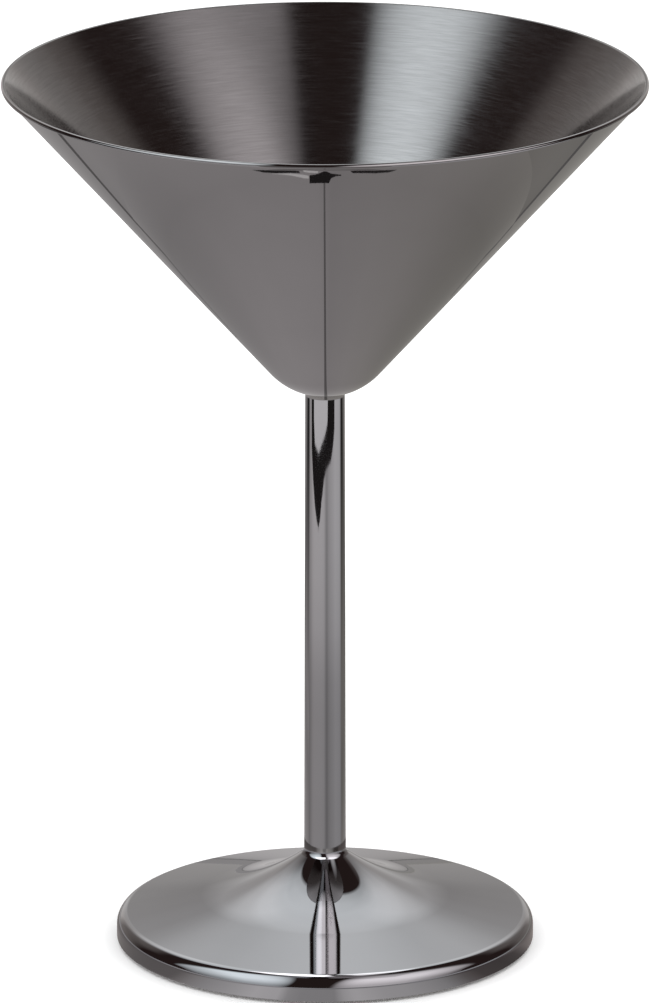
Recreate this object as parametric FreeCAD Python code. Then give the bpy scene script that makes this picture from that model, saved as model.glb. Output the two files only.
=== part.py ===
import FreeCAD, Part

import math
import os

# Steel martini glass, in millimetres. +Z is up, the Z axis is the axis of the glass, and the
# origin is the centre of the flat face that it stands on. Every piece is spun, pressed or turned,
# so each function draws half of its section as (radius, height) points and turns it.

# Bowl: a cone of sheet with a round bottom and a round lip that stands out past the wall.
lip_outer_radius = 60.0
lip_level = 166.28            # height of the widest circle of the lip
wall_angle = 41.73            # degrees between the bowl's wall and its axis
bowl_bottom_level = 106.33    # lowest point of the bowl's outside
bowl_bottom_radius = 14.07    # outside radius of the round bottom
bowl_wall = 0.6

# Stem: a drawn tube with a slight taper.
stem_radius_at_bowl = 3.72
stem_radius_at_foot = 3.95
stem_wall = 0.8

# Foot: a pressed shell with a neck, a trumpet-shaped skirt and a turned-down edge.
foot_radius = 39.35
foot_corner_radius = 0.3
foot_side_height = 2.34
foot_shoulder_radius = 2.61
foot_skirt_slope = 12.2       # degrees, on the straight outer part of the skirt
trumpet_start_radius = 23.5   # where the skirt begins to curve up towards the neck
trumpet_curve_radius = 50.7
neck_fillet_radius = 1.5
foot_wall = 0.8

# Base plate, studs and braze.
base_plate_thickness = 1.0
base_ring_width = 0.4
base_ring_recess = 0.25       # the braze stays this far above the face that the glass stands on
butt_joint_thickness = 0.15
braze_leg = 0.5               # size of the fillet of braze under the bowl
bowl_stud_length = 14.0
foot_stud_top = 32.0
foot_stud_head_radius = 8.0
foot_stud_head_level = 11.0
stud_chamfer = 0.8


def at(point):
    return FreeCAD.Vector(point[0], 0, point[1])


def line(start, end):
    return Part.LineSegment(at(start), at(end)).toShape()


def on_circle(centre, radius, degrees):
    """A point of a circle, where 0 degrees points away from the axis and 90 degrees points up."""
    angle = math.radians(degrees)
    return (centre[0] + radius * math.cos(angle), centre[1] + radius * math.sin(angle))


def arc(centre, radius, start, end):
    points = [on_circle(centre, radius, degrees) for degrees in (start, (start + end) / 2, end)]
    return Part.Arc(*[at(point) for point in points]).toShape()


def outline(*points):
    """Straight edges from each point to the next."""
    return [line(start, end) for start, end in zip(points, points[1:])]


def turned(edges):
    """The solid that a closed half section sweeps about the axis."""
    section = Part.Face(Part.Wire(Part.__sortEdges__(edges)))
    return section.revolve(FreeCAD.Vector(0, 0, 0), FreeCAD.Vector(0, 0, 1), 360)


# Bowl lines. The lip's circle touches the inside of the wall and overhangs the outside.
wall = math.radians(wall_angle)
bowl_centre = (0.0, bowl_bottom_level + bowl_bottom_radius)
wall_foot = on_circle(bowl_centre, bowl_bottom_radius, -wall_angle)
wall_radius_at_lip = wall_foot[0] + (lip_level - wall_foot[1]) * math.tan(wall)
lip_overhang = lip_outer_radius - wall_radius_at_lip
lip_radius = (bowl_wall + lip_overhang * math.cos(wall)) / (1 + math.cos(wall))
lip_centre = (lip_outer_radius - lip_radius, lip_level)

# Foot lines, from the edge inward: shoulder, straight skirt, trumpet curve, neck fillet.
slope = math.radians(foot_skirt_slope)
shoulder_centre = (foot_radius - foot_shoulder_radius, foot_side_height)
skirt_end = on_circle(shoulder_centre, foot_shoulder_radius, 90 - foot_skirt_slope)
skirt_rise = (skirt_end[0] - trumpet_start_radius) * math.tan(slope)
trumpet_start = (trumpet_start_radius, skirt_end[1] + skirt_rise)
trumpet_centre = on_circle(trumpet_start, trumpet_curve_radius, 90 - foot_skirt_slope)
centre_distance = trumpet_curve_radius - neck_fillet_radius
neck_centre_radius = stem_radius_at_foot + neck_fillet_radius
neck_slope = math.asin((trumpet_centre[0] - neck_centre_radius) / centre_distance)
neck_level = trumpet_centre[1] - centre_distance * math.cos(neck_slope)
neck_centre = (neck_centre_radius, neck_level)
trumpet_outer_angle = -90 - foot_skirt_slope
trumpet_inner_angle = -90 - math.degrees(neck_slope)

# Stem lines.
tube_bottom = neck_level + butt_joint_thickness
foot_bore = stem_radius_at_foot - stem_wall
bowl_bore = stem_radius_at_bowl - stem_wall


def bowl_underside(radius):
    """The point of the bowl's round bottom, outside, at a radius."""
    height = bowl_centre[1] - math.sqrt(bowl_bottom_radius ** 2 - radius ** 2)
    return (radius, height)


def underside_arc(inner_radius, outer_radius):
    angles = [-math.degrees(math.acos(radius / bowl_bottom_radius))
              for radius in (inner_radius, outer_radius)]
    return arc(bowl_centre, bowl_bottom_radius, *angles)


def between(start, end, height):
    """The point at a height on the line from start to end."""
    share = (height - start[1]) / (end[1] - start[1])
    return (start[0] + share * (end[0] - start[0]), height)


def bore_at(height):
    return between((foot_bore, tube_bottom), bowl_underside(bowl_bore), height)


def tube_side_at(height):
    return between((stem_radius_at_foot, tube_bottom), bowl_underside(stem_radius_at_bowl), height)


def make_bowl():
    inside_radius = bowl_bottom_radius - bowl_wall
    inside_foot = on_circle(bowl_centre, inside_radius, -wall_angle)
    inside_touch = on_circle(lip_centre, lip_radius, 180 - wall_angle)
    lip_depth = (wall_radius_at_lip - lip_centre[0]) * math.cos(wall)
    overhang_angle = -wall_angle - math.degrees(math.acos(lip_depth / lip_radius))
    overhang_end = on_circle(lip_centre, lip_radius, overhang_angle)
    return turned([
        arc(bowl_centre, bowl_bottom_radius, -90, -wall_angle),
        line(wall_foot, overhang_end),
        arc(lip_centre, lip_radius, overhang_angle, 180 - wall_angle),
        line(inside_touch, inside_foot),
        arc(bowl_centre, inside_radius, -wall_angle, -90),
        line((0, bowl_bottom_level + bowl_wall), (0, bowl_bottom_level)),
    ])


def make_bowl_stud():
    bottom = bowl_bottom_level - bowl_stud_length
    chamfer_top = bore_at(bottom + stud_chamfer)
    return turned([
        underside_arc(0, bowl_bore),
        *outline(
            bowl_underside(bowl_bore),
            chamfer_top,
            (chamfer_top[0] - stud_chamfer, bottom),
            (0, bottom),
            (0, bowl_bottom_level),
        ),
    ])


def make_upper_braze_ring():
    """A fillet of braze, filed to a straight face, between the tube and the bowl."""
    corner = bowl_underside(stem_radius_at_bowl)
    on_bowl = bowl_underside(stem_radius_at_bowl + braze_leg)
    on_tube = tube_side_at(corner[1] - braze_leg)
    return turned([
        underside_arc(stem_radius_at_bowl, stem_radius_at_bowl + braze_leg),
        *outline(corner, on_tube, on_bowl),
    ])


def make_stem_tube():
    return turned([
        underside_arc(bowl_bore, stem_radius_at_bowl),
        *outline(
            bowl_underside(stem_radius_at_bowl),
            (stem_radius_at_foot, tube_bottom),
            (foot_bore, tube_bottom),
            bowl_underside(bowl_bore),
        ),
    ])


def make_lower_braze_ring():
    return turned(outline(
        (foot_bore, neck_level),
        (stem_radius_at_foot, neck_level),
        (stem_radius_at_foot, tube_bottom),
        (foot_bore, tube_bottom),
        (foot_bore, neck_level),
    ))


def make_foot_stud():
    """A plug in the neck and the tube, with a flared head against the underside of the foot."""
    underside_radius = trumpet_curve_radius + foot_wall
    reach = (trumpet_centre[0] - foot_stud_head_radius) / underside_radius
    head_angle = -180 + math.degrees(math.acos(reach))
    head_edge = on_circle(trumpet_centre, underside_radius, head_angle)
    chamfer_bottom = bore_at(foot_stud_top - stud_chamfer)
    return turned([
        *outline(
            (foot_bore, neck_level),
            (foot_bore, tube_bottom),
            chamfer_bottom,
            (chamfer_bottom[0] - stud_chamfer, foot_stud_top),
            (0, foot_stud_top),
            (0, foot_stud_head_level),
            (foot_stud_head_radius, foot_stud_head_level),
            head_edge,
        ),
        arc(trumpet_centre, underside_radius, head_angle, trumpet_inner_angle),
        arc(neck_centre, neck_fillet_radius + foot_wall, trumpet_inner_angle, -180),
    ])


def foot_skin(depth):
    """The foot's section from its side to the neck's end, a depth below the outside surface."""
    shoulder_radius = foot_shoulder_radius - depth
    curve_radius = trumpet_curve_radius + depth
    return [
        arc(shoulder_centre, shoulder_radius, 0, 90 - foot_skirt_slope),
        line(on_circle(shoulder_centre, shoulder_radius, 90 - foot_skirt_slope),
             on_circle(trumpet_centre, curve_radius, trumpet_outer_angle)),
        arc(trumpet_centre, curve_radius, trumpet_outer_angle, trumpet_inner_angle),
        arc(neck_centre, neck_fillet_radius + depth, trumpet_inner_angle, -180),
    ]


def make_foot_shell():
    corner_centre = (foot_radius - foot_corner_radius, foot_corner_radius)
    inside = foot_radius - foot_wall
    return turned([
        *foot_skin(0),
        *foot_skin(foot_wall),
        line((stem_radius_at_foot, neck_level), (foot_bore, neck_level)),
        line((foot_radius, foot_side_height), (foot_radius, foot_corner_radius)),
        arc(corner_centre, foot_corner_radius, 0, -90),
        line((corner_centre[0], 0), (inside, 0)),
        line((inside, 0), (inside, foot_side_height)),
    ])


def make_base_plate():
    radius = foot_radius - foot_wall - base_ring_width
    return turned(outline(
        (0, 0),
        (radius, 0),
        (radius, base_plate_thickness),
        (0, base_plate_thickness),
        (0, 0),
    ))


def make_base_braze_ring():
    outside = foot_radius - foot_wall
    inside = outside - base_ring_width
    return turned(outline(
        (inside, base_ring_recess),
        (outside, base_ring_recess),
        (outside, base_plate_thickness),
        (inside, base_plate_thickness),
        (inside, base_ring_recess),
    ))


pieces = {
    "bowl": make_bowl(),
    "bowl_stud": make_bowl_stud(),
    "upper_braze_ring": make_upper_braze_ring(),
    "stem_tube": make_stem_tube(),
    "lower_braze_ring": make_lower_braze_ring(),
    "foot_stud": make_foot_stud(),
    "foot_shell": make_foot_shell(),
    "base_plate": make_base_plate(),
    "base_braze_ring": make_base_braze_ring(),
}

os.makedirs("parts", exist_ok=True)
for name, shape in pieces.items():
    shape.exportStep("parts/" + name + ".step")
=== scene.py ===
import math

import bpy
import numpy as np
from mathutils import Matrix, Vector


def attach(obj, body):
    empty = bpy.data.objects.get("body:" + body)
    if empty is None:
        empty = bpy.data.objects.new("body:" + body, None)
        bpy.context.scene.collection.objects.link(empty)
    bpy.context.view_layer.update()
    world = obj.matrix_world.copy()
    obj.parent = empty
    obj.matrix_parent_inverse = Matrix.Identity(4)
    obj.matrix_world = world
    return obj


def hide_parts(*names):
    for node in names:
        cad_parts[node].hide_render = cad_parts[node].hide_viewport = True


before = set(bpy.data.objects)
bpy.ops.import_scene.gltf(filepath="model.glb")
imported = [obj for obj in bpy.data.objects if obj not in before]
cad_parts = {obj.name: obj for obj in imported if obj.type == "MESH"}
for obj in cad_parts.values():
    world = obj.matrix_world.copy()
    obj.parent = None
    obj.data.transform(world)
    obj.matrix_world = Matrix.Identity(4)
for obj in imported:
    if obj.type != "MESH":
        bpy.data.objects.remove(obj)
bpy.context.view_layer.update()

# Every piece is a turned section: (radius, height) points in millimetres, spun about the Z axis.
MM = 0.001
SEGMENTS = 384
SAME_POINT = 1e-7

# Bowl.
LIP_OUTER_RADIUS = 60.0
LIP_LEVEL = 166.28
WALL_ANGLE = 41.73
BOWL_BOTTOM_LEVEL = 106.33
BOWL_BOTTOM_RADIUS = 14.07
BOWL_WALL = 0.6
LIP_BRUSHED_FROM = 84  # degrees round the lip's circle, from the outside

# Stem.
STEM_RADIUS_AT_BOWL = 3.72
STEM_RADIUS_AT_FOOT = 3.95
STEM_WALL = 0.8
BUTT_JOINT_THICKNESS = 0.15
BRAZE_LEG = 0.5
BRAZE_EDGE = 0.02
BRAZE_HOLLOW_END = 96

# Foot.
FOOT_RADIUS = 39.35
FOOT_CORNER_RADIUS = 0.3
FOOT_SIDE_HEIGHT = 2.34
FOOT_SHOULDER_RADIUS = 2.61
FOOT_SKIRT_SLOPE = 12.2
TRUMPET_START_RADIUS = 23.5
TRUMPET_CURVE_RADIUS = 50.7
NECK_FILLET_RADIUS = 1.5
FOOT_WALL = 0.8
BASE_PLATE_THICKNESS = 1.0
BASE_PLATE_EDGE = 0.15
BASE_RING_WIDTH = 0.4
BASE_RING_RECESS = 0.25
BASE_RING_HOLLOW = 0.08


# ---------------------------------------------------------------- turned sections

def on_circle(centre, radius, degrees):
    angle = math.radians(degrees)
    return (centre[0] + radius * math.cos(angle), centre[1] + radius * math.sin(angle))


def arc(centre, radius, start, end, steps):
    """Points of an arc with their outward normals. The solid is on the left of the way along it."""
    side = 1.0 if end > start else -1.0
    run = []
    for step in range(steps + 1):
        degrees = start + (end - start) * step / steps
        angle = math.radians(degrees)
        normal = (side * math.cos(angle), side * math.sin(angle))
        run.append((on_circle(centre, radius, degrees), normal))
    return run


def line(start, end, steps=1):
    across = end[0] - start[0]
    up = end[1] - start[1]
    length = math.hypot(across, up)
    normal = (up / length, -across / length)
    shares = [step / steps for step in range(steps + 1)]
    return [((start[0] + across * s, start[1] + up * s), normal) for s in shares]


def outline(*points):
    return [line(start, end) for start, end in zip(points, points[1:])]


def turn(name, runs, materials):
    """Spins the runs into one mesh with exact normals. Each run is (points, material index)."""
    points = []
    spans = []
    for run, material in runs:
        if not points or math.dist(points[-1], run[0][0]) > SAME_POINT:
            points.append(run[0][0])
        for (start, start_normal), (end, end_normal) in zip(run, run[1:]):
            points.append(end)
            spans.append((len(points) - 2, len(points) - 1, start_normal, end_normal, material))
    closed = math.dist(points[0], points[-1]) < SAME_POINT and points[0][0] > SAME_POINT
    if closed:
        points.pop()
    turns = np.arange(SEGMENTS) * (2 * math.pi / SEGMENTS)
    cosines, sines = np.cos(turns), np.sin(turns)
    vertices = []
    first = []
    for radius, height in points:
        first.append(len(vertices))
        if radius < SAME_POINT:
            vertices.append((0.0, 0.0, height * MM))
        else:
            vertices.extend(zip(radius * MM * cosines, radius * MM * sines,
                                [height * MM] * SEGMENTS))
    faces, slots, normals = [], [], []
    for start, end, start_normal, end_normal, material in spans:
        end = end % len(points)
        for k in range(SEGMENTS):
            after = (k + 1) % SEGMENTS
            corners = []
            if points[start][0] < SAME_POINT:
                corners.append((first[start], start_normal, k))
            else:
                corners.append((first[start] + k, start_normal, k))
                corners.append((first[start] + after, start_normal, after))
            if points[end][0] < SAME_POINT:
                corners.append((first[end], end_normal, k))
            else:
                corners.append((first[end] + after, end_normal, after))
                corners.append((first[end] + k, end_normal, k))
            faces.append([corner[0] for corner in corners])
            slots.append(material)
            normals.extend((normal[0] * cosines[j], normal[0] * sines[j], normal[1])
                           for _, normal, j in corners)
    mesh = bpy.data.meshes.new(name)
    mesh.from_pydata(vertices, [], faces)
    mesh.polygons.foreach_set("material_index", slots)
    mesh.polygons.foreach_set("use_smooth", [True] * len(faces))
    mesh.update()
    mesh.normals_split_custom_set(normals)
    for material in materials:
        mesh.materials.append(material)
    piece = bpy.data.objects.new(name, mesh)
    bpy.context.scene.collection.objects.link(piece)
    return piece


# Bowl lines. The lip's circle touches the inside of the wall and overhangs the outside.
wall = math.radians(WALL_ANGLE)
bowl_centre = (0.0, BOWL_BOTTOM_LEVEL + BOWL_BOTTOM_RADIUS)
wall_foot = on_circle(bowl_centre, BOWL_BOTTOM_RADIUS, -WALL_ANGLE)
wall_radius_at_lip = wall_foot[0] + (LIP_LEVEL - wall_foot[1]) * math.tan(wall)
lip_overhang = LIP_OUTER_RADIUS - wall_radius_at_lip
lip_radius = (BOWL_WALL + lip_overhang * math.cos(wall)) / (1 + math.cos(wall))
lip_centre = (LIP_OUTER_RADIUS - lip_radius, LIP_LEVEL)

# Foot lines, from the edge inward: shoulder, straight skirt, trumpet curve, neck fillet.
slope = math.radians(FOOT_SKIRT_SLOPE)
shoulder_centre = (FOOT_RADIUS - FOOT_SHOULDER_RADIUS, FOOT_SIDE_HEIGHT)
skirt_end = on_circle(shoulder_centre, FOOT_SHOULDER_RADIUS, 90 - FOOT_SKIRT_SLOPE)
skirt_rise = (skirt_end[0] - TRUMPET_START_RADIUS) * math.tan(slope)
trumpet_start = (TRUMPET_START_RADIUS, skirt_end[1] + skirt_rise)
trumpet_centre = on_circle(trumpet_start, TRUMPET_CURVE_RADIUS, 90 - FOOT_SKIRT_SLOPE)
centre_distance = TRUMPET_CURVE_RADIUS - NECK_FILLET_RADIUS
neck_centre_radius = STEM_RADIUS_AT_FOOT + NECK_FILLET_RADIUS
neck_slope = math.asin((trumpet_centre[0] - neck_centre_radius) / centre_distance)
neck_level = trumpet_centre[1] - centre_distance * math.cos(neck_slope)
neck_centre = (neck_centre_radius, neck_level)
trumpet_outer_angle = -90 - FOOT_SKIRT_SLOPE
trumpet_inner_angle = -90 - math.degrees(neck_slope)

# Stem lines.
tube_bottom = neck_level + BUTT_JOINT_THICKNESS
foot_bore = STEM_RADIUS_AT_FOOT - STEM_WALL
bowl_bore = STEM_RADIUS_AT_BOWL - STEM_WALL


def underside_angle(radius):
    return -math.degrees(math.acos(radius / BOWL_BOTTOM_RADIUS))


def bowl_underside(radius):
    return on_circle(bowl_centre, BOWL_BOTTOM_RADIUS, underside_angle(radius))


def tube_side_at(height):
    bottom = (STEM_RADIUS_AT_FOOT, tube_bottom)
    top = bowl_underside(STEM_RADIUS_AT_BOWL)
    share = (height - bottom[1]) / (top[1] - bottom[1])
    return (bottom[0] + share * (top[0] - bottom[0]), height)


def make_bowl(outside, inside):
    inner_radius = BOWL_BOTTOM_RADIUS - BOWL_WALL
    inner_foot = on_circle(bowl_centre, inner_radius, -WALL_ANGLE)
    inner_touch = on_circle(lip_centre, lip_radius, 180 - WALL_ANGLE)
    lip_depth = (wall_radius_at_lip - lip_centre[0]) * math.cos(wall)
    overhang_angle = -WALL_ANGLE - math.degrees(math.acos(lip_depth / lip_radius))
    overhang_end = on_circle(lip_centre, lip_radius, overhang_angle)
    return turn("bowl_shell", [
        (arc(bowl_centre, BOWL_BOTTOM_RADIUS, -90, -WALL_ANGLE, 24), 0),
        (line(wall_foot, overhang_end, 60), 0),
        (arc(lip_centre, lip_radius, overhang_angle, LIP_BRUSHED_FROM, 26), 0),
        (arc(lip_centre, lip_radius, LIP_BRUSHED_FROM, 180 - WALL_ANGLE, 6), 1),
        (line(inner_touch, inner_foot, 60), 1),
        (arc(bowl_centre, inner_radius, -WALL_ANGLE, -90, 24), 1),
    ], [outside, inside])


def make_stem(steel):
    top_outside = bowl_underside(STEM_RADIUS_AT_BOWL)
    bore_angle = underside_angle(bowl_bore)
    side_angle = underside_angle(STEM_RADIUS_AT_BOWL)
    return turn("stem", [
        (line((STEM_RADIUS_AT_FOOT, tube_bottom), top_outside, 24), 0),
        (arc(bowl_centre, BOWL_BOTTOM_RADIUS, side_angle, bore_angle, 2), 0),
        (line(bowl_underside(bowl_bore), (foot_bore, tube_bottom), 24), 0),
        (line((foot_bore, tube_bottom), (STEM_RADIUS_AT_FOOT, tube_bottom)), 0),
    ], [steel])


def make_foot(steel):
    corner_centre = (FOOT_RADIUS - FOOT_CORNER_RADIUS, FOOT_CORNER_RADIUS)
    inside = FOOT_RADIUS - FOOT_WALL
    inner_shoulder = FOOT_SHOULDER_RADIUS - FOOT_WALL
    inner_curve = TRUMPET_CURVE_RADIUS + FOOT_WALL
    skirt_turn = 90 - FOOT_SKIRT_SLOPE
    return turn("foot", [
        (line((inside, 0), (corner_centre[0], 0)), 0),
        (arc(corner_centre, FOOT_CORNER_RADIUS, -90, 0, 8), 0),
        (line((FOOT_RADIUS, FOOT_CORNER_RADIUS), (FOOT_RADIUS, FOOT_SIDE_HEIGHT), 4), 0),
        (arc(shoulder_centre, FOOT_SHOULDER_RADIUS, 0, skirt_turn, 32), 0),
        (line(skirt_end, trumpet_start, 12), 0),
        (arc(trumpet_centre, TRUMPET_CURVE_RADIUS, trumpet_outer_angle, trumpet_inner_angle, 40), 0),
        (arc(neck_centre, NECK_FILLET_RADIUS, trumpet_inner_angle, -180, 20), 0),
        (line((STEM_RADIUS_AT_FOOT, neck_level), (foot_bore, neck_level)), 0),
        (arc(neck_centre, NECK_FILLET_RADIUS + FOOT_WALL, -180, trumpet_inner_angle, 12), 0),
        (arc(trumpet_centre, inner_curve, trumpet_inner_angle, trumpet_outer_angle, 24), 0),
        (line(on_circle(trumpet_centre, inner_curve, trumpet_outer_angle),
              on_circle(shoulder_centre, inner_shoulder, skirt_turn), 6), 0),
        (arc(shoulder_centre, inner_shoulder, skirt_turn, 0, 12), 0),
        (line((inside, FOOT_SIDE_HEIGHT), (inside, 0), 2), 0),
    ], [steel])


def make_upper_joint(braze):
    """The fillet between the tube and the bowl, polished to a hollow."""
    corner = bowl_underside(STEM_RADIUS_AT_BOWL)
    on_bowl = bowl_underside(STEM_RADIUS_AT_BOWL + BRAZE_LEG)
    on_tube = tube_side_at(corner[1] - BRAZE_LEG)
    hollow_centre = (on_bowl[0] - BRAZE_EDGE, on_tube[1])
    hollow = arc(hollow_centre, hollow_centre[0] - on_tube[0], 180, BRAZE_HOLLOW_END, 10)
    top_angle = underside_angle(STEM_RADIUS_AT_BOWL + BRAZE_LEG)
    side_angle = underside_angle(STEM_RADIUS_AT_BOWL)
    return turn("bowl_joint", [
        (hollow, 0),
        (line(hollow[-1][0], on_bowl), 0),
        (arc(bowl_centre, BOWL_BOTTOM_RADIUS, top_angle, side_angle, 3), 0),
        (line(corner, on_tube), 0),
    ], [braze])


def make_lower_joint(braze):
    """The thin line of braze between the tube's end and the neck."""
    return turn("foot_joint", [(run, 0) for run in outline(
        (foot_bore, neck_level),
        (STEM_RADIUS_AT_FOOT, neck_level),
        (STEM_RADIUS_AT_FOOT, tube_bottom),
        (foot_bore, tube_bottom),
        (foot_bore, neck_level),
    )], [braze])


def make_base_plate(steel):
    radius = FOOT_RADIUS - FOOT_WALL - BASE_RING_WIDTH
    edge_centre = (radius - BASE_PLATE_EDGE, BASE_PLATE_EDGE)
    return turn("base", [
        (line((0, 0), (edge_centre[0], 0), 40), 0),
        (arc(edge_centre, BASE_PLATE_EDGE, -90, 0, 5), 0),
        (line((radius, BASE_PLATE_EDGE), (radius, BASE_PLATE_THICKNESS), 2), 0),
        (line((radius, BASE_PLATE_THICKNESS), (0, BASE_PLATE_THICKNESS), 10), 0),
    ], [steel])


def make_base_joint(braze):
    outside = FOOT_RADIUS - FOOT_WALL
    inside = outside - BASE_RING_WIDTH
    middle = (inside + outside) / 2
    return turn("base_joint", [(run, 0) for run in outline(
        (inside, BASE_RING_RECESS),
        (middle, BASE_RING_RECESS + BASE_RING_HOLLOW),
        (outside, BASE_RING_RECESS),
        (outside, BASE_PLATE_THICKNESS),
        (inside, BASE_PLATE_THICKNESS),
        (inside, BASE_RING_RECESS),
    )], [braze])


# ---------------------------------------------------------------- materials

QUARTER_TURN = 0.25


def new_material(name):
    """A material with its shader, and two short ways to add and join nodes."""
    material = bpy.data.materials.new(name)
    material.use_nodes = True
    tree = material.node_tree
    shader = tree.nodes["Principled BSDF"]
    shader.inputs["Metallic"].default_value = 1.0

    def add(kind, **values):
        node = tree.nodes.new(kind)
        for key, value in values.items():
            if key in node.inputs:
                node.inputs[key].default_value = value
            else:
                setattr(node, key, value)
        return node

    return material, shader, add, tree.links.new


def turned_coordinates(add, join, around, along):
    """Coordinates that change slowly round the axis and quickly along the section."""
    where = add("ShaderNodeTexCoord")
    split = add("ShaderNodeSeparateXYZ")
    join(where.outputs["Object"], split.inputs[0])
    radius = add("ShaderNodeVectorMath", operation="LENGTH")
    flat = add("ShaderNodeCombineXYZ")
    join(split.outputs["X"], flat.inputs["X"])
    join(split.outputs["Y"], flat.inputs["Y"])
    join(flat.outputs[0], radius.inputs[0])
    run = add("ShaderNodeMath", operation="ADD")
    join(radius.outputs["Value"], run.inputs[0])
    join(split.outputs["Z"], run.inputs[1])
    stretched = add("ShaderNodeCombineXYZ")
    for axis, source, scale in (
        ("X", split.outputs["X"], around),
        ("Y", split.outputs["Y"], around),
        ("Z", run.outputs[0], along),
    ):
        scaled = add("ShaderNodeMath", operation="MULTIPLY")
        scaled.inputs[1].default_value = scale
        join(source, scaled.inputs[0])
        join(scaled.outputs[0], stretched.inputs[axis])
    return stretched.outputs[0]


def noise(add, join, coordinates, scale, detail):
    texture = add("ShaderNodeTexNoise")
    texture.inputs["Scale"].default_value = scale
    texture.inputs["Detail"].default_value = detail
    join(coordinates, texture.inputs["Vector"])
    return texture.outputs["Fac"]


def ramp(add, join, factor, low, high):
    """A colour between low and high, for most of a noise's range."""
    node = add("ShaderNodeValToRGB")
    for mark, position, colour in zip(node.color_ramp.elements, (0.3, 0.7), (low, high)):
        mark.position = position
        mark.color = (*colour, 1.0)
    join(factor, node.inputs["Fac"])
    return node.outputs["Color"]


def span(add, join, factor, low, high):
    """A number between low and high, for most of a noise's range."""
    node = add("ShaderNodeMapRange")
    node.inputs["From Min"].default_value = 0.25
    node.inputs["From Max"].default_value = 0.75
    node.inputs["To Min"].default_value = low
    node.inputs["To Max"].default_value = high
    join(factor, node.inputs["Value"])
    return node.outputs["Result"]


def bump(add, join, shader, height, distance):
    node = add("ShaderNodeBump")
    node.inputs["Strength"].default_value = 1.0
    node.inputs["Distance"].default_value = distance
    join(height, node.inputs["Height"])
    join(node.outputs["Normal"], shader.inputs["Normal"])


def mirror_steel(name, dark, light, low_roughness, high_roughness):
    """Plated steel, buffed bright: faint clouds in the plating and a little buffing haze."""
    material, shader, add, join = new_material(name)
    place = add("ShaderNodeTexCoord").outputs["Object"]
    clouds = noise(add, join, place, scale=28.0, detail=4.0)
    join(ramp(add, join, clouds, dark, light), shader.inputs["Base Color"])
    rings = turned_coordinates(add, join, around=60.0, along=2400.0)
    haze = noise(add, join, rings, scale=1.0, detail=2.0)
    join(span(add, join, haze, low_roughness, high_roughness), shader.inputs["Roughness"])
    return material


def brushed_steel(name, dark, light, low_roughness, high_roughness, anisotropy, depth):
    """Plated steel with the fine rings that an abrasive leaves as the piece spins."""
    material, shader, add, join = new_material(name)
    fine_rings = turned_coordinates(add, join, around=240.0, along=4400.0)
    fine = noise(add, join, fine_rings, scale=1.0, detail=3.0)
    broad_rings = turned_coordinates(add, join, around=150.0, along=2600.0)
    broad = noise(add, join, broad_rings, scale=1.0, detail=4.0)
    join(ramp(add, join, broad, dark, light), shader.inputs["Base Color"])
    join(span(add, join, fine, low_roughness, high_roughness), shader.inputs["Roughness"])
    shader.inputs["Anisotropic"].default_value = anisotropy
    shader.inputs["Anisotropic Rotation"].default_value = QUARTER_TURN
    around = add("ShaderNodeTangent", direction_type="RADIAL", axis="Z")
    join(around.outputs["Tangent"], shader.inputs["Tangent"])
    bump(add, join, shader, fine, depth)
    return material


# Each call gives the dark and light colours, then the lowest and highest roughness. The brushed
# ones end with the anisotropy and the depth of the rings in metres.
outer_steel = mirror_steel("outer_steel", (0.288, 0.276, 0.281), (0.312, 0.298, 0.305), 0.012, 0.026)
stem_steel = mirror_steel("stem_steel", (0.285, 0.275, 0.28), (0.315, 0.305, 0.31), 0.02, 0.035)
foot_steel = mirror_steel("foot_steel", (0.29, 0.285, 0.30), (0.315, 0.31, 0.325), 0.018, 0.03)
# The inside's colours are darker than the outside's: painted shade inside the bowl.
inner_steel = brushed_steel("inner_steel", (0.23, 0.22, 0.222), (0.27, 0.259, 0.263),
                            0.10, 0.23, 0.8, 0.000003)
base_steel = brushed_steel("base_steel", (0.28, 0.275, 0.27), (0.36, 0.355, 0.35),
                           0.28, 0.42, 0.7, 0.000006)
stud_steel = brushed_steel("stud_steel", (0.42, 0.41, 0.40), (0.55, 0.54, 0.53),
                           0.30, 0.45, 0.5, 0.00001)
braze_metal = mirror_steel("braze_metal", (0.30, 0.29, 0.285), (0.35, 0.34, 0.33), 0.05, 0.10)


# ---------------------------------------------------------------- the glass

shown = [
    (make_bowl(outer_steel, inner_steel), "bowl", "bowl_steel"),
    (make_stem(stem_steel), "stem_tube", "stem_steel"),
    (make_foot(foot_steel), "foot_shell", "foot_steel"),
    (make_upper_joint(braze_metal), "upper_braze_ring", "braze"),
    (make_lower_joint(braze_metal), "lower_braze_ring", "braze"),
    (make_base_plate(base_steel), "base_plate", "base_steel"),
    (make_base_joint(braze_metal), "base_braze_ring", "braze"),
]
for piece, node, finish in shown:
    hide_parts(node)
    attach(piece, "root")

for node in ("bowl_stud", "foot_stud"):
    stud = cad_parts[node]
    stud.data.materials.clear()
    stud.data.materials.append(stud_steel)


# ---------------------------------------------------------------- studio

# Everything here but the floor is a card or patch of light that shows only as a reflection in the
# metal. Lengths are in metres and angles in degrees. A card that lies on another is a little higher,
# so that the two never share a plane. The outlines and stops of brightness were fitted to measured
# reflections, and for the main view only.
FLOOR_REACH = 6.0
FLOOR_LEVEL = -0.0006
TABLE_GAP_LEVEL = -0.0005
TABLE_LEVEL = -0.0003
TABLE_FRONT_LEVEL = -0.0002
FORK_MIDDLE_LEVEL = -0.00016
FORK_RIGHT_LEVEL = -0.00014
FORK_LEFT_LEVEL = -0.00012
TABLE_NEAR_LEVEL = -0.0001
TABLE_START = -0.10
TABLE_FRONT_REACHES = (0.05, 0.40)
TABLE_NEAR_REACHES = (0.0394, 0.060)
STEM_LIGHT_LEVEL = 0.05
STEM_LIGHT_REACHES = (0.008, 0.032)
UNDER_LEVEL = 0.1062
UNDER_REACHES = (0.0036, 0.066)
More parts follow.
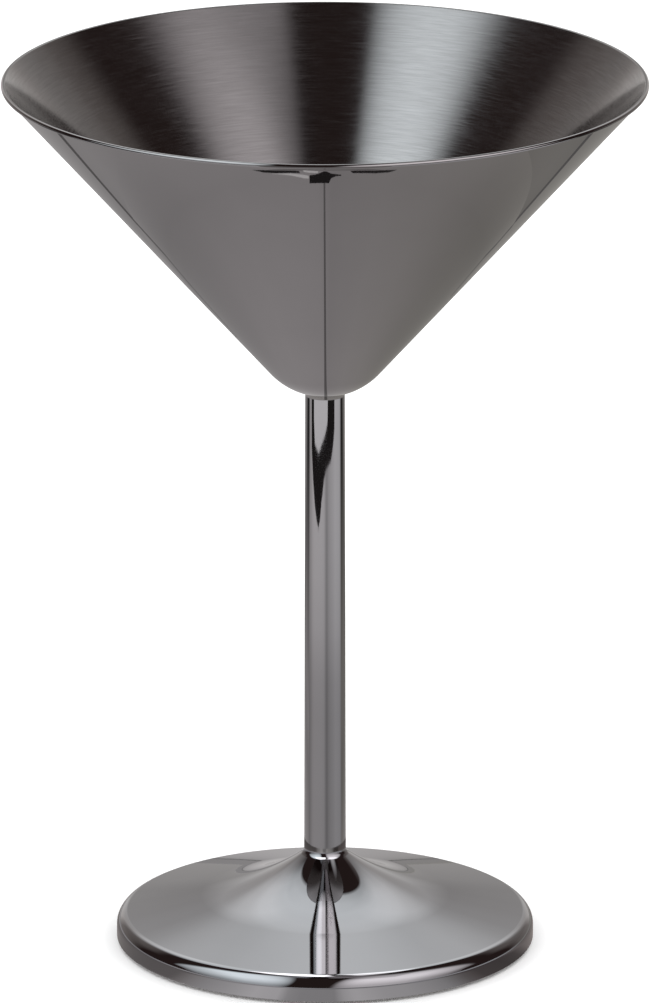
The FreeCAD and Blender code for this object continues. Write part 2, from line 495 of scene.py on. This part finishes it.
UNDER_EDGE_HALF_WIDTH = 1.3
LIP_SLIP_LEVEL = 0.12
NET_LEVEL = 0.27
NET_SIDES = (0.004, 0.16)
NET_ENDS = (-0.14, 0.05)
STUDIO_CENTRE = Vector((0.0, 0.0, 0.08))
ROOM_RADIUS = 3.0
PATCH_FACES = 40
FAN_COLUMNS = 96
FAN_ROWS = 24
BEND_STEP = 2.0


def shader_tree(name):
    """A material that only glows: the material, its tree, its light and its output."""
    material = bpy.data.materials.new(name)
    material.use_nodes = True
    tree = material.node_tree
    tree.nodes.clear()
    output = tree.nodes.new("ShaderNodeOutputMaterial")
    light = tree.nodes.new("ShaderNodeEmission")
    tree.links.new(light.outputs[0], output.inputs["Surface"])
    return material, tree, light, output


def stops_ramp(tree, source, stops):
    """A curve through (position, value) stops. Positions may use any unit."""
    start, end = stops[0][0], stops[-1][0]
    share = tree.nodes.new("ShaderNodeMapRange")
    share.inputs["From Min"].default_value = start
    share.inputs["From Max"].default_value = end
    tree.links.new(source, share.inputs["Value"])
    curve = tree.nodes.new("ShaderNodeValToRGB")
    curve.color_ramp.interpolation = "LINEAR"
    marks = curve.color_ramp.elements
    while len(marks) < len(stops):
        marks.new(0.5)
    for mark, (position, value) in zip(marks, stops):
        colour = value if isinstance(value, tuple) else (value, value, value)
        mark.position = (position - start) / (end - start)
        mark.color = (*colour, 1.0)
    tree.links.new(share.outputs["Result"], curve.inputs["Fac"])
    return curve.outputs["Color"]


def product(tree, first, second):
    node = tree.nodes.new("ShaderNodeMath")
    node.operation = "MULTIPLY"
    for socket, value in zip(node.inputs, (first, second)):
        if isinstance(value, float):
            socket.default_value = value
        else:
            tree.links.new(value, socket)
    return node.outputs[0]


def graded_glow(name, strength, across, along, tint, place="UV"):
    """Light whose strength is strength x across(X) x along(Y). The tint follows X."""
    material, tree, light, _ = shader_tree(name)
    coordinates = tree.nodes.new("ShaderNodeTexCoord")
    split = tree.nodes.new("ShaderNodeSeparateXYZ")
    tree.links.new(coordinates.outputs[place], split.inputs[0])
    level = product(tree, stops_ramp(tree, split.outputs["X"], across),
                    stops_ramp(tree, split.outputs["Y"], along))
    tree.links.new(product(tree, level, float(strength)), light.inputs["Strength"])
    tree.links.new(stops_ramp(tree, split.outputs["X"], tint), light.inputs["Color"])
    return material


def plain_glow(name, colour, strength):
    material, _, light, _ = shader_tree(name)
    light.inputs["Color"].default_value = (*colour, 1.0)
    light.inputs["Strength"].default_value = strength
    return material


def one_sided(material):
    """Makes a glow show from its front only, so that its card hides nothing from behind."""
    tree = material.node_tree
    output = next(node for node in tree.nodes if node.type == "OUTPUT_MATERIAL")
    front = output.inputs["Surface"].links[0].from_socket
    facing = tree.nodes.new("ShaderNodeNewGeometry")
    clear = tree.nodes.new("ShaderNodeBsdfTransparent")
    choice = tree.nodes.new("ShaderNodeMixShader")
    tree.links.new(facing.outputs["Backfacing"], choice.inputs[0])
    tree.links.new(front, choice.inputs[1])
    tree.links.new(clear.outputs[0], choice.inputs[2])
    tree.links.new(choice.outputs[0], output.inputs["Surface"])
    return material


def see_through(material):
    """Lets whatever is behind a glow add to it."""
    tree = material.node_tree
    light = next(node for node in tree.nodes if node.type == "EMISSION")
    output = next(node for node in tree.nodes if node.type == "OUTPUT_MATERIAL")
    clear = tree.nodes.new("ShaderNodeBsdfTransparent")
    both = tree.nodes.new("ShaderNodeAddShader")
    tree.links.new(light.outputs[0], both.inputs[0])
    tree.links.new(clear.outputs[0], both.inputs[1])
    tree.links.new(both.outputs[0], output.inputs["Surface"])
    return material


def grey_filter(name, passed):
    """A net whose see-through share follows X, in metres."""
    material, tree, light, output = shader_tree(name)
    tree.nodes.remove(light)
    clear = tree.nodes.new("ShaderNodeBsdfTransparent")
    coordinates = tree.nodes.new("ShaderNodeTexCoord")
    split = tree.nodes.new("ShaderNodeSeparateXYZ")
    tree.links.new(coordinates.outputs["Object"], split.inputs[0])
    tree.links.new(stops_ramp(tree, split.outputs["X"], passed), clear.inputs["Color"])
    tree.links.new(clear.outputs[0], output.inputs["Surface"])
    return material


def stage_mesh(name, vertices, faces, material, uvs=None):
    mesh = bpy.data.meshes.new(name)
    mesh.from_pydata(vertices, [], faces)
    mesh.materials.append(material)
    if uvs is not None:
        layer = mesh.uv_layers.new(name="UVMap")
        for loop in mesh.loops:
            layer.data[loop.index].uv = uvs[loop.vertex_index]
    made = bpy.data.objects.new(name, mesh)
    bpy.context.scene.collection.objects.link(made)
    return made


def only_reflected(card):
    """The card shows as a reflection in the metal and nowhere else."""
    card.visible_camera = False
    card.visible_diffuse = False
    card.visible_transmission = False
    card.visible_volume_scatter = False
    card.visible_shadow = False
    return card


def grid_card(name, columns, rows, point, mark, material):
    """A card of rows by columns of faces. Point and mark give place and UV from two shares."""
    vertices, uvs = [], []
    for j in range(rows + 1):
        for i in range(columns + 1):
            vertices.append(point(i / columns, j / rows))
            uvs.append(mark(i / columns, j / rows))
    wide = columns + 1
    faces = [(j * wide + i, j * wide + i + 1, (j + 1) * wide + i + 1, (j + 1) * wide + i)
             for j in range(rows) for i in range(columns)]
    return only_reflected(stage_mesh(name, vertices, faces, material, uvs))


def heading(sideways, over):
    """A direction. Over turns from the camera's side (0) by the zenith (90) to the back (180)."""
    u, v = math.radians(sideways), math.radians(over)
    return Vector((math.sin(u), -math.cos(u) * math.cos(v), math.cos(u) * math.sin(v)))


def light_patch(name, sides, over, strength, across, along, tint, distance=1.5, sag=(0.0, 0.0)):
    """A curved softbox on a big sphere round the glass.

    Sides holds the left and right sideways angles at the start and at the end of over.
    Across and along are brightness stops over the two shares of the patch. Sag (amount, middle)
    lowers the start of over by that amount for each squared degree away from the middle.
    """
    (left_start, left_end), (right_start, right_end) = sides

    def place(s, t):
        left = left_start + (left_end - left_start) * t
        right = right_start + (right_end - right_start) * t
        sideways = left + (right - left) * s
        start = over[0] + sag[0] * (sideways - sag[1]) ** 2
        return STUDIO_CENTRE + heading(sideways, start + (over[1] - start) * t) * distance

    material = see_through(graded_glow(name, strength, across, along, tint))
    return grid_card(name, PATCH_FACES, PATCH_FACES, place, lambda s, t: (s, t), material)


def fan_card(name, angles, reaches, level, material):
    """A flat ring sector round the glass, with angle and reach as its UV.

    Angles are in degrees from the camera's side, positive to its right. Angles that go up make a
    card that faces down, and angles that go down make one that faces up.
    """
    def spot(s, t):
        angle = angles[0] + (angles[1] - angles[0]) * s
        reach = reaches[0] + (reaches[1] - reaches[0]) * t
        return angle, reach

    def place(s, t):
        angle, reach = spot(s, t)
        turned = math.radians(angle)
        return (reach * math.sin(turned), -reach * math.cos(turned), level)

    return grid_card(name, FAN_COLUMNS, FAN_ROWS, place, spot, material)


def outline_card(name, corners, level, material):
    """A flat card from (angle, reach) corners, angles as in fan_card. Long sides bend round."""
    points = []
    for (angle, reach), (next_angle, next_reach) in zip(corners, corners[1:] + corners[:1]):
        steps = max(1, math.ceil(abs(next_angle - angle) / BEND_STEP))
        for step in range(steps):
            turned = math.radians(angle + (next_angle - angle) * step / steps)
            out = reach + (next_reach - reach) * step / steps
            points.append((out * math.sin(turned), -out * math.cos(turned), level))
    return only_reflected(stage_mesh(name, points, [tuple(range(len(points)))], material))


def strip_card(name, lower, upper, level, material):
    """A flat card between two lines of (x, y) points of the same length."""
    points = [(x, y, level) for x, y in lower] + [(x, y, level) for x, y in upper]
    count = len(lower)
    faces = [(i, i + 1, count + i + 1, count + i) for i in range(count - 1)]
    return only_reflected(stage_mesh(name, points, faces, material))


def make_floor():
    material = bpy.data.materials.new("floor_paper")
    material.use_nodes = True
    shader = material.node_tree.nodes["Principled BSDF"]
    shader.inputs["Base Color"].default_value = (0.93, 0.93, 0.93, 1.0)
    shader.inputs["Roughness"].default_value = 0.9
    shader.inputs["Specular IOR Level"].default_value = 0.0
    corners = [(x * FLOOR_REACH, y * FLOOR_REACH, FLOOR_LEVEL)
               for x, y in ((-1, -1), (1, -1), (1, 1), (-1, 1))]
    floor = stage_mesh("floor", corners, [(0, 1, 2, 3)], material)
    floor.visible_glossy = False


WARM = [(-0.2, (1.0, 0.967, 0.965)), (0.0, (1.0, 0.967, 0.965)), (0.08, (1.0, 0.966, 0.905)),
        (0.2, (1.0, 0.966, 0.90))]
COOL = [(0.0, (0.925, 0.985, 0.985)), (1.0, (0.925, 0.985, 0.985))]
PALE = [(0.0, (0.89, 0.98, 1.0)), (1.0, (0.89, 0.98, 1.0))]
ROSY = [(0.0, (1.0, 0.97, 0.98)), (1.0, (1.0, 0.97, 0.98))]

make_floor()

# The table that the bowl's outside mirrors, up to a dark gap: brightness over x and over y.
TABLE_ACROSS = [(-0.32, 0.06), (-0.17, 0.48), (-0.14, 0.57), (-0.122, 0.515), (-0.105, 0.455),
                (-0.084, 0.52), (-0.06, 0.58), (-0.005, 0.605), (0.005, 0.545), (0.028, 0.545),
                (0.042, 0.51), (0.056, 0.465), (0.07, 0.405), (0.085, 0.365), (0.10, 0.345),
                (0.112, 0.345), (0.122, 0.375), (0.16, 0.395), (0.32, 0.06)]
TABLE_ALONG = [(-0.10, 1.0), (0.04, 0.99), (0.10, 0.92), (0.14, 0.85), (0.18, 0.74), (0.30, 0.70)]
table_glow = graded_glow("table", 1.0, TABLE_ACROSS, TABLE_ALONG, WARM, "Object")
NEAR_GAP = [(-1.0, 0.183), (1.0, 0.190)]
FAR_GAP = [(-1.0, 0.198), (1.0, 0.205)]
front_line = [(x, TABLE_START) for x, _ in NEAR_GAP]
back_line = [(x, 1.6) for x, _ in FAR_GAP]
strip_card("table", front_line, NEAR_GAP, TABLE_LEVEL, table_glow)
strip_card("table_end", FAR_GAP, back_line, TABLE_LEVEL,
           graded_glow("table_end", 1.0, [(-0.14, 0.42), (-0.10, 0.36), (0.0, 0.36), (0.14, 0.34)],
                       [(0.2, 1.0), (1.6, 1.1)], WARM, "Object"))
strip_card("table_gap", [(-1.0, 0.1), (1.0, 0.1)], [(-1.0, 0.6), (1.0, 0.6)], TABLE_GAP_LEVEL,
           plain_glow("table_gap", (1.0, 0.97, 0.96), 0.15))

# The front of the table, which the stem mirrors, and a dark fork across its far end: brightness
# over the angle and over the reach.
FRONT_AROUND = [(-100, 0.42), (-85, 0.52), (-72, 0.66), (-60, 0.70), (-20, 0.70), (-6, 0.66),
                (1, 0.52), (6, 0.41), (12, 0.40), (19, 0.50), (30, 0.57), (45, 0.63),
                (60, 0.70), (88, 0.66), (100, 0.45)]
FRONT_OUT = [(0.05, 0.97), (0.14, 0.99), (0.17, 1.10), (0.20, 1.30), (0.24, 1.42), (0.38, 1.65)]
FRONT_TINT = [(-100, (1.0, 0.975, 0.985)), (100, (0.97, 0.975, 1.0))]
fan_card("table_front", (-100, 100), TABLE_FRONT_REACHES, TABLE_FRONT_LEVEL,
         graded_glow("table_front", 1.0, FRONT_AROUND, FRONT_OUT, FRONT_TINT))
dark_card = plain_glow("dark_card", (1.0, 0.9, 0.9), 0.03)
outline_card("fork_left", [(-84, 0.40), (-82, 0.335), (-72, 0.312), (-60, 0.293), (-48, 0.282),
                           (-38, 0.277), (-28, 0.284), (-18, 0.300), (-14, 0.322), (-36, 0.334),
                           (-60, 0.340), (-66, 0.36), (-66, 0.40)], FORK_LEFT_LEVEL, dark_card)
outline_card("fork_right", [(-36, 0.334), (-17, 0.300), (-6, 0.314), (6, 0.322), (34, 0.328),
                            (46, 0.338), (56, 0.352), (57, 0.40), (18, 0.40), (14, 0.358),
                            (-2, 0.348), (-20, 0.341)], FORK_RIGHT_LEVEL, dark_card)
outline_card("fork_middle", [(-66, 0.40), (-66, 0.36), (-60, 0.340), (-36, 0.334), (-20, 0.341),
                             (-2, 0.348), (14, 0.358), (18, 0.40)], FORK_MIDDLE_LEVEL,
             plain_glow("bright_card", (0.98, 0.98, 1.0), 1.3))
# A ring of table close to the foot, mirrored by the foot's edge.
NEAR_AROUND = [(-180, 0.30), (-75, 0.28), (-64, 0.27), (-50, 0.29), (-43, 0.55), (-35, 0.74),
               (-27, 0.92), (-21, 1.10), (-14, 1.05), (-11, 0.70), (-7, 0.62), (3, 0.60), (5, 0.85),
               (9, 1.02), (18, 0.86), (25, 0.82), (31, 0.72), (38, 0.58), (46, 0.28), (52, 0.16),
               (64, 0.13), (72, 0.15), (80, 0.30), (180, 0.30)]
NEAR_OUT = [(0.0394, 1.0), (0.050, 1.0), (0.060, 0.62)]
NEAR_TINT = [(-180, (1.0, 0.92, 0.89)), (-48, (1.0, 0.93, 0.90)), (-38, (1.0, 0.98, 0.97)),
             (40, (1.0, 0.98, 0.97)), (50, (1.0, 0.88, 0.84)), (180, (1.0, 0.90, 0.87))]
fan_card("table_near", (-180, 180), TABLE_NEAR_REACHES, TABLE_NEAR_LEVEL,
         graded_glow("table_near", 1.0, NEAR_AROUND, NEAR_OUT, NEAR_TINT))

# A card under the bowl hides the foot and the stem from the bowl's outside. A thin dark line on
# it runs towards the camera.
UNDER_AROUND = [(-180, 0.36), (-125, 0.38), (-110, 0.405), (-90, 0.455), (-75, 0.50), (-60, 0.555),
                (-40, 0.595), (-20, 0.595), (-3, 0.58), (3, 0.51), (10, 0.525), (25, 0.535),
                (35, 0.52), (45, 0.505), (55, 0.475), (65, 0.44), (75, 0.405), (90, 0.37),
                (110, 0.34), (180, 0.34)]
UNDER_OUT = [(0.0, 1.04), (0.012, 1.04), (0.02, 1.0), (0.03, 0.97), (0.04, 0.925), (0.049, 0.88),
             (0.056, 0.945), (0.066, 1.05)]
UNDER_TINT = [(-180, (1.0, 0.967, 0.965)), (0, (1.0, 0.967, 0.965)), (90, (1.0, 0.966, 0.90)),
              (180, (1.0, 0.966, 0.90))]
fan_card("under_card", (180, -180), UNDER_REACHES, UNDER_LEVEL,
         one_sided(graded_glow("under_card", 1.0, UNDER_AROUND, UNDER_OUT, UNDER_TINT)))
strip_card("under_line", [(-0.0005, -0.049), (0.0001, -0.049)], [(-0.0001, 0.0), (0.0005, 0.0)],
           UNDER_LEVEL + 0.0001, one_sided(plain_glow("under_line", (1.0, 0.97, 0.96), 0.22)))
# Shapes on that card under the front of the lip: a grey band, a dark crescent on each side of it,
# a bright glint, a bright spark and a dark notch. Each has its rise above the card and its corners.
under_grey = one_sided(plain_glow("under_band", (1.0, 0.96, 0.95), 0.32))
under_black = one_sided(plain_glow("under_black", (1.0, 0.93, 0.93), 0.03))
under_bright = one_sided(plain_glow("under_bright", (1.0, 0.99, 0.98), 0.98))
for name, rise, material, corners in (
    ("under_band", 0.00012, under_grey,
     [(-26, 0.0509), (0, 0.0508), (26, 0.0509), (19, 0.0504), (0, 0.0501), (-19, 0.0504)]),
    ("under_left", 0.00016, under_black,
     [(-28.4, 0.0513), (-19.1, 0.0506), (-10.0, 0.0502), (-9.6, 0.0498), (-13.0, 0.0499),
      (-19.2, 0.0501), (-24.0, 0.0505)]),
    ("under_right", 0.00016, under_black,
     [(9.6, 0.0502), (19.5, 0.0506), (28.2, 0.0513), (25.0, 0.0506), (19.6, 0.0501),
      (10.8, 0.0498)]),
    ("under_glint", 0.00014, under_bright,
     [(-21.0, 0.0501), (-13.0, 0.0498), (-8.0, 0.0494), (-6.4, 0.0492), (-6.4, 0.0487),
      (-8.0, 0.04875), (-13.0, 0.0494)]),
    ("under_spark", 0.00015, under_bright,
     [(-8.4, 0.0503), (-2.5, 0.0500), (-2.9, 0.0497), (-6.2, 0.0498), (-8.2, 0.0500)]),
    ("under_notch", 0.00018, under_black,
     [(-6.0, 0.0493), (-3.6, 0.04945), (-2.5, 0.0496), (-0.6, 0.0500), (0.6, 0.0500),
      (2.5, 0.0496), (6.4, 0.0494), (6.2, 0.0492), (4.2, 0.0491), (2.4, 0.0487), (1.6, 0.0478),
      (-6.2, 0.0478)]),
):
    outline_card(name, corners, UNDER_LEVEL + rise, material)
# A grey slip in front of the bowl, mirrored by the lip.
outline_card("lip_slip", [(-17, 0.0665), (-25, 0.28), (25, 0.28), (17, 0.0665)], LIP_SLIP_LEVEL,
             one_sided(plain_glow("lip_slip", (1.0, 0.96, 0.95), 0.30)))
# Two small bright cards round the stem, seen from below only: the foot mirrors the stem
# mirroring them.
STEM_LIGHT_OUT = [(0.008, 0.0), (0.013, 1.0), (0.027, 1.0), (0.032, 0.0)]
WHITE = [(-100, (1.0, 1.0, 1.0)), (100, (1.0, 1.0, 1.0))]
for name, angles, strength, around in (
    ("stem_light_left", (-66, 8), 5.0, [(-66, 0.0), (-54, 0.8), (-40, 1.0), (-1, 1.0), (8, 0.0)]),
    ("stem_light_right", (20, 92), 2.2, [(20, 0.0), (28, 1.0), (74, 1.0), (92, 0.0)]),
):
    fan_card(name, angles, STEM_LIGHT_REACHES, STEM_LIGHT_LEVEL,
             one_sided(see_through(graded_glow(name, strength, around, STEM_LIGHT_OUT, WHITE))))
# Two thin radial lines near the back of the card, one on each side.
for name, middle in (
    ("under_edge_left", [(-129.5, 0.028), (-128.5, 0.038), (-126.0, 0.047), (-122.5, 0.054),
                         (-123.2, 0.066)]),
    ("under_edge_right", [(131.5, 0.044), (129.0, 0.048), (125.5, 0.055), (126.5, 0.060),
                          (125.0, 0.066)]),
):
    outward = [(angle - UNDER_EDGE_HALF_WIDTH, reach) for angle, reach in middle]
    inward = [(angle + UNDER_EDGE_HALF_WIDTH, reach) for angle, reach in reversed(middle)]
    outline_card(name, outward + inward, UNDER_LEVEL + 0.0002,
                 one_sided(plain_glow(name, (1.0, 0.97, 0.96), 0.17)))

# Paper behind the glass, and the lamp's glow on it. Each call gives the sides, the stretch over the
# glass, the strength, and the stops of brightness across, of brightness along and of tint. Some
# go on with a distance, and one with a sag.
light_patch("paper_low", ((-62, -62), (62, 62)), (122, 186), 0.72,
            [(0.0, 0.0), (0.1, 0.24), (0.15, 0.30), (0.2, 0.35), (0.25, 0.38), (0.29, 0.64),
             (0.32, 0.95), (0.395, 1.0), (0.435, 0.57), (0.565, 0.55), (0.605, 0.95), (0.68, 0.9),
             (0.71, 0.64), (0.75, 0.38), (0.8, 0.35), (0.85, 0.30), (0.9, 0.27), (1.0, 0.0)],
            [(0.0, 0.0), (0.08, 0.25), (0.16, 0.6), (0.24, 0.8), (0.4, 0.94), (0.5, 0.86), (0.6, 0.9),
             (0.72, 0.94), (0.77, 1.02), (0.84, 1.08), (1.0, 1.02)],
            [(0.0, (1.0, 0.94, 0.87)), (0.25, (1.0, 0.95, 0.90)), (0.4, (0.98, 0.98, 0.96)),
             (0.6, (0.98, 0.98, 0.96)), (0.75, (1.0, 0.95, 0.90)), (1.0, (1.0, 0.94, 0.87))])
light_patch("lamp_behind", ((-50, -50), (50, 50)), (107, 186), 1.62,
            [(0.0, 0.0), (0.14, 0.0), (0.17, 0.10), (0.2, 0.34), (0.23, 0.62), (0.26, 0.79),
             (0.32, 0.94), (0.42, 1.0), (0.5, 0.96), (0.6, 0.88), (0.7, 0.70), (0.76, 0.46),
             (0.8, 0.22), (0.85, 0.04), (1.0, 0.0)],
            [(0.0, 0.0), (0.03, 0.8), (0.1, 0.95), (0.19, 0.98), (0.25, 0.88), (0.32, 0.77),
             (0.38, 0.66), (0.44, 0.48), (0.49, 0.38), (0.54, 0.26), (0.58, 0.15), (0.62, 0.07),
             (0.7, 0.02), (1.0, 0.0)],
            COOL, 1.45, (0.018, -6.0))

# A dim room all round, so that the darkest mirrored parts aren't quite black.
grid_card("room", 12, 8, lambda s, t: heading(-90 + 180 * s, -10 + 200 * t) * ROOM_RADIUS,
          lambda s, t: (s, t), plain_glow("room", (1.0, 0.66, 0.60), 0.044))

# Softboxes above the camera, left and right of the gap that it looks through.
light_patch("softbox_left", ((-80, -80), (-21, -7.0)), (-8, 96), 2.36,
            [(0.0, 0.1), (0.12, 0.38), (0.26, 0.56), (0.38, 0.70), (0.5, 0.88), (0.6, 1.0), (0.77, 1.0),
             (0.83, 0.93), (0.88, 0.82), (0.92, 0.66), (0.96, 0.40), (1.0, 0.0)],
            [(0.0, 0.4), (0.08, 0.4), (0.18, 0.5), (0.28, 0.65), (0.37, 0.78), (0.47, 0.88), (0.57, 1.0),
             (0.83, 1.0), (0.87, 0.97), (0.905, 0.84), (0.93, 0.56), (0.96, 0.25), (1.0, 0.0)],
            PALE, 1.4)
light_patch("softbox_right", ((1, 9), (78, 78)), (-8, 99), 2.1,
            [(0.0, 0.0), (0.02, 0.15), (0.04, 0.4), (0.07, 0.62), (0.11, 0.82), (0.16, 0.95),
             (0.22, 1.0), (0.4, 1.0), (0.54, 0.96), (0.65, 0.8), (0.75, 0.66), (0.86, 0.5), (1.0, 0.12)],
            [(0.0, 0.5), (0.16, 0.56), (0.26, 0.68), (0.355, 0.8), (0.45, 0.9), (0.54, 1.0),
             (0.66, 0.98), (0.74, 0.92), (0.81, 0.78), (0.87, 0.66), (0.915, 0.32), (0.955, 0.08),
             (1.0, 0.0)],
            ROSY, 1.4)
# A grey net over the mouth softens the right softbox inside the bowl.
net_front, net_back = [[(x, y) for x in NET_SIDES] for y in NET_ENDS]
strip_card("net", net_front, net_back, NET_LEVEL,
           grey_filter("net", [(0.004, 0.90), (0.010, 0.74), (0.018, 0.38), (0.027, 0.38),
                               (0.034, 0.51), (0.041, 0.62), (0.048, 0.68), (0.16, 0.68)]))

# White for the camera and the floor, and dark for the metal, which mirrors only the cards and itself.
world = bpy.data.worlds.new("white_studio")
world.use_nodes = True
world.node_tree.nodes["Background"].inputs["Color"].default_value = (1.0, 1.0, 1.0, 1.0)
world.node_tree.nodes["Background"].inputs["Strength"].default_value = 1.5
world.cycles_visibility.glossy = False
bpy.context.scene.world = world

# A long lens in front of the glass, looking down on it.
CAMERA_PLACE = (0.0, -2.0653, 0.7058)
CAMERA_DOWN = 16.719
CAMERA_LENS = 413.69
camera_data = bpy.data.cameras.new("camera")
camera_data.lens = CAMERA_LENS
camera_data.sensor_width = 36.0
camera_data.clip_end = 20.0
camera = bpy.data.objects.new("camera", camera_data)
camera.location = CAMERA_PLACE
camera.rotation_euler = (math.radians(90 - CAMERA_DOWN), 0.0, 0.0)
bpy.context.scene.collection.objects.link(camera)
bpy.context.scene.camera = camera
bpy.context.scene.view_settings.view_transform = "Standard"
